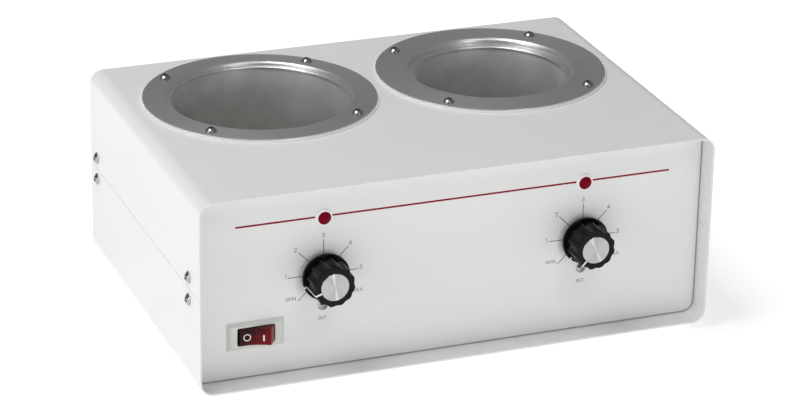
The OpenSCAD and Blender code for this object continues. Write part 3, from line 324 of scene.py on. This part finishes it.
# The wires inside the case, each solid of a node in its own colour
INSULATION = {
    "brown": (0.10, 0.035, 0.015),
    "blue": (0.02, 0.06, 0.26),
    "green": (0.04, 0.22, 0.04),
    "grey": (0.30, 0.30, 0.30),
}
wires = {
    key: Finish("wire_" + key, value, (0.35, 0.5), mottle=(200, 0.12), grain=(1200, 0.00002))
    for key, value in INSULATION.items()
}
WIRE_COLOURS = {
    "supply_wires": ("brown", "blue", "green"),
    "switched_wires": ("brown", "blue"),
    "heater_wires": ("brown",) * 6 + ("blue",) * 2,
    "lamp_wires": ("grey",) * 4,
}
for name, colours in WIRE_COLOURS.items():
    mesh = nodes[name].data
    mesh.materials.clear()
    kinds = sorted(set(colours))
    for kind in kinds:
        mesh.materials.append(wires[kind].material)
    for polygon, number in zip(mesh.polygons, islands(mesh)):
        polygon.material_index = kinds.index(colours[number % len(colours)])


# ---------------------------------------------------------------- edges


def soften(name, width, angle=35):
    """Rounds a node's sharp edges a little, as folded and moulded edges are."""
    piece = nodes[name]
    weld = piece.modifiers.new("weld", "WELD")
    weld.merge_threshold = 1e-6
    bevel = piece.modifiers.new("edges", "BEVEL")
    bevel.width = width
    bevel.segments = 2
    bevel.limit_method = "ANGLE"
    bevel.angle_limit = math.radians(angle)
    bevel.use_clamp_overlap = False
    bevel.harden_normals = True


for name in ("switch_housing", "switch_rocker", "power_inlet"):
    soften(name, 0.3 * MM)
for name in ("left_knob", "right_knob"):
    soften(name, 0.15 * MM)


# ---------------------------------------------------------------- printed marks


def piece_from(name, bm, finish, body):
    """A piece of the scene from mesh code, which rides a body."""
    mesh = bpy.data.meshes.new(name)
    bmesh.ops.recalc_face_normals(bm, faces=bm.faces)
    bm.to_mesh(mesh)
    bm.free()
    mesh.materials.append(finish.material)
    piece = bpy.data.objects.new(name, mesh)
    scene.collection.objects.link(piece)
    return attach(piece, body)


def bar(bm, low, high, turn=0.0, about=(0.0, 0.0)):
    """A printed bar on the panel between two corners (x, z), turned about a point of the panel."""
    corners = [(low[0], low[1]), (high[0], low[1]), (high[0], high[1]), (low[0], high[1])]
    c, s = math.cos(turn), math.sin(turn)
    rows = []
    for y in (PANEL_Y - PRINT, PANEL_Y):
        rows.append(
            [bm.verts.new((about[0] + x * c - z * s, y, about[1] + x * s + z * c)) for x, z in corners]
        )
    bm.faces.new(rows[0])
    bm.faces.new(rows[1])
    for i in range(4):
        j = (i + 1) % 4
        bm.faces.new((rows[0][i], rows[0][j], rows[1][j], rows[1][i]))


# Thin letters and numbers as strokes: each one's width, then the points of its strokes, in cap heights
STROKES = {
    "M": (1.1, [[(0, 0), (0.14, 1), (0.55, 0.05), (0.96, 1), (1.1, 0)]]),
    "I": (0.0, [[(0, 0), (0, 1)]]),
    "N": (0.8, [[(0, 0), (0, 1), (0.8, 0), (0.8, 1)]]),
    "A": (0.9, [[(0, 0), (0.45, 1), (0.9, 0)], [(0.18, 0.36), (0.72, 0.36)]]),
    "X": (0.76, [[(0, 0), (0.76, 1)], [(0, 1), (0.76, 0)]]),
    "T": (0.7, [[(0, 1), (0.7, 1)], [(0.35, 0), (0.35, 1)]]),
    ".": (0.1, [[(0, 0.06), (0.1, 0.06)]]),
    "1": (0.2, [[(0, 0.84), (0.2, 1), (0.2, 0)]]),
    "2": (
        0.6,
        [[(0.03, 0.8), (0.15, 0.96), (0.3, 1), (0.47, 0.95), (0.57, 0.76), (0.5, 0.54), (0, 0), (0.6, 0)]],
    ),
    "3": (
        0.6,
        [
            [(0.03, 0.87), (0.15, 0.97), (0.3, 1), (0.48, 0.94), (0.54, 0.77), (0.46, 0.6), (0.25, 0.54)],
            [(0.25, 0.54), (0.5, 0.47), (0.6, 0.28), (0.5, 0.07), (0.28, 0), (0.1, 0.04), (0, 0.16)],
        ],
    ),
    "4": (0.66, [[(0.5, 0), (0.5, 1), (0, 0.26), (0.66, 0.26)]]),
    "5": (
        0.6,
        [
            [(0.56, 1), (0.12, 1), (0.06, 0.55), (0.3, 0.62), (0.52, 0.52)],
            [(0.52, 0.52), (0.6, 0.3), (0.5, 0.08), (0.28, 0), (0, 0.1)],
        ],
    ),
}
LETTER_GAP = 0.4
STROKE_HALF = 0.00017
NUMBER_HEIGHT = 0.0031
WORD_HEIGHT = 0.0026


def word(bm, text, x, z, height, width=None):
    """A word or number printed on the panel in thin strokes, centred at x, z."""
    total = sum(STROKES[letter][0] for letter in text) + LETTER_GAP * (len(text) - 1)
    stretch = width / total if width else height
    left = x - total * stretch / 2
    for letter in text:
        advance, lines = STROKES[letter]
        for line in lines:
            points = [Vector((left + u * stretch, z + (v - 0.5) * height)) for u, v in line]
            for p, q in zip(points, points[1:]):
                turn = math.atan2(q.y - p.y, q.x - p.x)
                far = ((q - p).length + STROKE_HALF, STROKE_HALF)
                bar(bm, (-STROKE_HALF, -STROKE_HALF), far, turn, p)
        left += (advance + LETTER_GAP) * stretch


ink = Finish("grey_ink", (0.11, 0.11, 0.12), (0.45, 0.6), mottle=(600, 0.15), grain=(2500, 0.000003))
red_ink = Finish(
    "red_ink",
    (0.26, 0.004, 0.025),
    (0.4, 0.5),
    mottle=(400, 0.1),
    grain=(2500, 0.000001),
    Specular_IOR_Level=0.2,
)
white_ink = Finish("white_ink", (0.85, 0.85, 0.84), (0.35, 0.5), mottle=(500, 0.04), grain=(2500, 0.000003))

# Each dial round its shaft: the ticks' angles and ends, and the marks' places and widths in millimetres
TICKS = (225, 180, 135, 90, 45, 0, -45)
TICK_START, TICK_END, TICK_HALF = 0.0115, 0.027, 0.00028
NUMBERS = (("1", -28.9, 1.2), ("2", -21.4, 21.3), ("3", -0.2, 30.3), ("4", 20.6, 21.8), ("5", 29.0, 1.1))
WORDS = (("MIN.", -24.2, -16.7, 8.6), ("MAX.", 26.6, -16.7, 9.0), ("INT.", 0.3, -35.3, 6.8))
for side, middle in CONTROL_X.items():
    bm = bmesh.new()
    for angle in TICKS:
        bar(bm, (TICK_START, -TICK_HALF), (TICK_END, TICK_HALF), math.radians(angle), (middle, SHAFT_Z))
    for text, x, z in NUMBERS:
        word(bm, text, middle + x * MM, SHAFT_Z + z * MM, NUMBER_HEIGHT)
    for text, x, z, width in WORDS:
        word(bm, text, middle + x * MM, SHAFT_Z + z * MM, WORD_HEIGHT, width * MM)
    piece_from(side + "_dial_print", bm, ink, "case")

# The red line across the panel, which stops short of each lamp's rim
LINE_Z = 0.1266
LINE_HALF = 0.00072
LINE_ENDS = (-0.1675, 0.1722)
RIM = 0.0066
bm = bmesh.new()
ends = [LINE_ENDS[0], CONTROL_X["left"] - RIM, CONTROL_X["left"] + RIM]
ends += [CONTROL_X["right"] - RIM, CONTROL_X["right"] + RIM, LINE_ENDS[1]]
for low, high in zip(ends[::2], ends[1::2]):
    bar(bm, (low, LINE_Z - LINE_HALF), (high, LINE_Z + LINE_HALF))
piece_from("panel_line", bm, red_ink, "case")


# Each knob's pointer line runs over its face, down its side and across its skirt: the points of its path as
# radius and height over the knob's back in millimetres, with the direction out of the knob at each
KNOB_BACK = 0.0046  # in front of the panel
POINTER_HALF = 0.00065
POINTER_ANGLES = {"left": 200, "right": 228}
PATH = (
    ((10.7, 21.0), (0, 1)),
    ((15.0, 21.0), (0.4, 1)),
    ((15.8, 20.2), (1, 0.5)),
    ((16.2, 2.0), (1, 1)),
    ((17.0, 2.0), (-1, 1)),
    ((17.0, 2.8), (-1, 1)),
    ((18.0, 2.8), (1, 1)),
    ((18.0, 0.6), (1, 0)),
)
for side, angle in POINTER_ANGLES.items():
    turn = Matrix.Translation((CONTROL_X[side], PANEL_Y, SHAFT_Z)) @ Matrix.Rotation(math.radians(90), 4, "X")
    turn = turn @ Matrix.Rotation(math.radians(angle), 4, "Z")
    bm = bmesh.new()
    rows = []
    for (r, h), (dr, dh) in PATH:
        inner = (r * MM, KNOB_BACK + h * MM)
        outer = (inner[0] + dr * PRINT, inner[1] + dh * PRINT)
        section = ((inner, -1), (outer, -1), (outer, 1), (inner, 1))
        rows.append([bm.verts.new(turn @ Vector((p[0], k * POINTER_HALF, p[1]))) for p, k in section])
    bm.faces.new(rows[0])
    bm.faces.new(rows[-1])
    for a, b in zip(rows, rows[1:]):
        for i in range(4):
            j = (i + 1) % 4
            bm.faces.new((a[i], a[j], b[j], b[i]))
    piece_from(side + "_pointer_line", bm, white_ink, side + "_knob")

# The rocker's O and I, on its hollow face, which is part of a cylinder of radius DISH about an axis at DISH_Y
DISH = 0.041413
DISH_Y = -0.046413
TILT = math.radians(-14)
RING_AT, RING_INNER, RING_OUTER = (-0.0060, -0.0005), 0.0021, 0.00275
BAR_AT, BAR_HALF = (0.0061, -0.0013), (0.00055, 0.0024)
RING_SIDES = 48


def on_rocker(u, v, d):
    """The point u across and v up from the middle of the rocker's face, d in front of it."""
    y = DISH_Y + math.sqrt(DISH * DISH - u * u) - d
    c, s = math.cos(TILT), math.sin(TILT)
    return (SWITCH_X + u * c - y * s, PIVOT_Y + u * s + y * c, SWITCH_Z + v)


def loop_mark(bm, inner, outer):
    """A raised band on the rocker between two closed outlines of the same number of points."""
    section = ((inner, 0.0), (inner, PRINT), (outer, PRINT), (outer, 0.0))
    rows = [[bm.verts.new(on_rocker(u, v, d)) for u, v in line] for line, d in section]
    for a, b in zip(rows, rows[1:] + rows[:1]):
        for i in range(len(a)):
            j = (i + 1) % len(a)
            bm.faces.new((a[i], a[j], b[j], b[i]))


def circle(middle, radius):
    """The points of a circle on the rocker's face."""
    turns = [i * math.tau / RING_SIDES for i in range(RING_SIDES)]
    return [(middle[0] + radius * math.cos(t), middle[1] + radius * math.sin(t)) for t in turns]


bm = bmesh.new()
loop_mark(bm, circle(RING_AT, RING_INNER), circle(RING_AT, RING_OUTER))
corners = ((-1, -1), (1, -1), (1, 1), (-1, 1))
outline = [(BAR_AT[0] + i * BAR_HALF[0], BAR_AT[1] + j * BAR_HALF[1]) for i, j in corners]
loop_mark(bm, [BAR_AT] * len(outline), outline)
bmesh.ops.remove_doubles(bm, verts=bm.verts, dist=1e-7)
piece_from("rocker_marks", bm, white_ink, "rocker")


# ---------------------------------------------------------------- studio

# A floor of white paper, lit as a light table is: brighter away from the warmer, and fading far off
FLOOR_HALF = 9.0
GLOW_NEAR, GLOW_FAR = 0.57, 0.85
GLOW_REACH = (0.25, 0.7)
FADE_LEAST = 0.2
FADE_REACH = (1.25, 2.2)
bm = bmesh.new()
bmesh.ops.create_grid(bm, x_segments=8, y_segments=8, size=FLOOR_HALF)
mesh = bpy.data.meshes.new("floor")
bm.to_mesh(mesh)
bm.free()
paper = Finish("floor_paper", (0.66, 0.66, 0.66), (0.7, 0.8), mottle=(2, 0.004), grain=(300, 0.00001))
paper.shader.inputs["Emission Color"].default_value = (1.0, 1.0, 1.0, 1.0)
reach, _ = paper.around((0, 0, 0), "Z")
glow = paper.between(reach, GLOW_NEAR, GLOW_FAR, *GLOW_REACH)
fade = paper.between(reach, 1.0, FADE_LEAST, *FADE_REACH)
paper.feed(paper.shader.inputs["Emission Strength"], paper.math("MULTIPLY", glow, fade))
mesh.materials.append(paper.material)
floor = bpy.data.objects.new("floor", mesh)
scene.collection.objects.link(floor)

AMBIENT = 0.205
world = bpy.data.worlds.new("studio")
scene.world = world
world.use_nodes = True
background = world.node_tree.nodes["Background"]
background.inputs["Color"].default_value = (1.0, 1.0, 1.0, 1.0)
background.inputs["Strength"].default_value = AMBIENT


def softbox(name, place, aim, size, power):
    """A rectangular light of a size in metres and a power in watts, turned towards a point."""
    light = bpy.data.lights.new(name, "AREA")
    light.shape = "RECTANGLE"
    light.size, light.size_y = size
    light.energy = power
    box = bpy.data.objects.new(name, light)
    box.location = place
    box.rotation_euler = (Vector(aim) - Vector(place)).to_track_quat("-Z", "Y").to_euler()
    scene.collection.objects.link(box)


MIDDLE = (0, 0, 0.1)
softbox("left_front", (-2.4, -0.7, 0.8), MIDDLE, (1.2, 1.2), 11)
softbox("left_high", (-1.0, 0.0, 2.5), MIDDLE, (1.4, 1.2), 37)
softbox("top_front", (0.3, -1.5, 2.1), MIDDLE, (0.7, 0.5), 7)
softbox("cap_streak", (0.5, -2.67, 0.45), (0, -0.14, 0.08), (0.08, 0.5), 7)


# ---------------------------------------------------------------- camera

# The photograph's view, as calibrated from the case's corners and the flanges' ellipses
CAMERA_PLACE = (-0.8240, -2.1172, 1.0473)
CAMERA_TURN = (66.7485, -1.0015, -20.9346)  # degrees
SENSOR_WIDTH, FOCAL_LENGTH = 36, 145.585  # millimetres
SHIFT = (-0.00123, -0.00145)
CLIP = (0.1, 60)
camera_data = bpy.data.cameras.new("camera")
camera_data.sensor_width, camera_data.lens = SENSOR_WIDTH, FOCAL_LENGTH
camera_data.shift_x, camera_data.shift_y = SHIFT
camera_data.clip_start, camera_data.clip_end = CLIP
camera = bpy.data.objects.new("camera", camera_data)
camera.location = CAMERA_PLACE
camera.rotation_euler = [math.radians(a) for a in CAMERA_TURN]
scene.collection.objects.link(camera)
scene.camera = camera
scene.view_settings.view_transform = "Standard"
